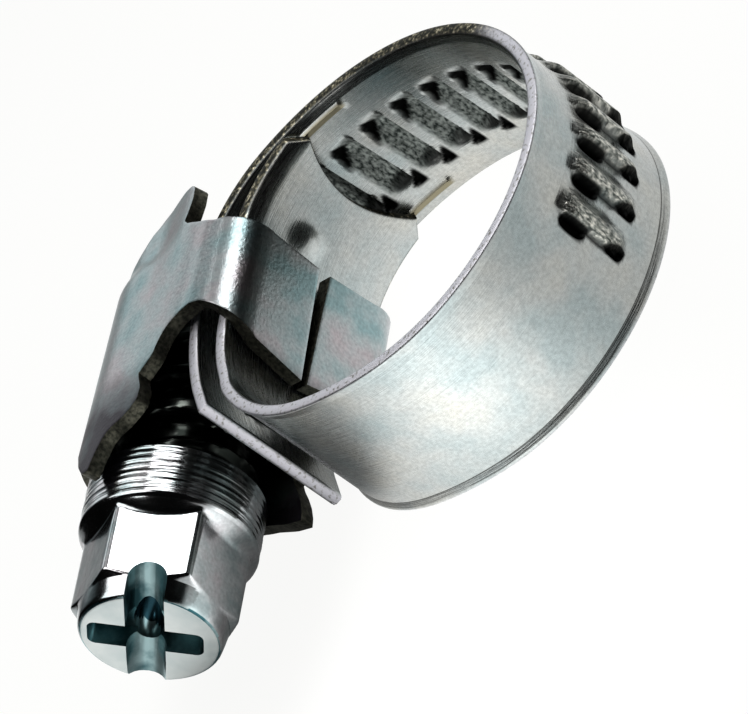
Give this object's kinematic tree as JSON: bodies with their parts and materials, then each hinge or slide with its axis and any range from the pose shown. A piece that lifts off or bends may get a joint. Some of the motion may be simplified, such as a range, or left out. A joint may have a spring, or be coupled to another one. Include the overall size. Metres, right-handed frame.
{
  "type": "worm drive hose clamp",
  "caption": "Small worm drive hose clamp: a narrow steel strip looped into a ring, a folded sheet housing and a hexagon-head worm screw that tightens it.",
  "frame": {"origin": "bottom centre of the whole clamp's box, as it lies on its side", "axes": "+Z along the loop's axis, +Y from the loop towards the housing, -X from the housing towards the screw's head"},
  "size_m": [0.0222, 0.0276, 0.0096],
  "materials": {
    "zinc_plated_strip": "bright zinc plated, pressed",
    "zinc_plated_sheet": "bright zinc plated, stamped",
    "zinc_plated_screw": "bright zinc plated, turned"
  },
  "bodies": {
    "clamp": {"housing": "zinc_plated_sheet", "band": "zinc_plated_strip"},
    "screw": {"worm_screw": "zinc_plated_screw"}
  },
  "joints": [
    {"name": "screw_turn", "type": "hinge", "parent": "clamp", "child": "screw", "pos_m": [-0.002, 0.00982, 0.00478], "axis": [1, 0, 0], "continuous": true, "deforming": ["band"]}
  ]
}
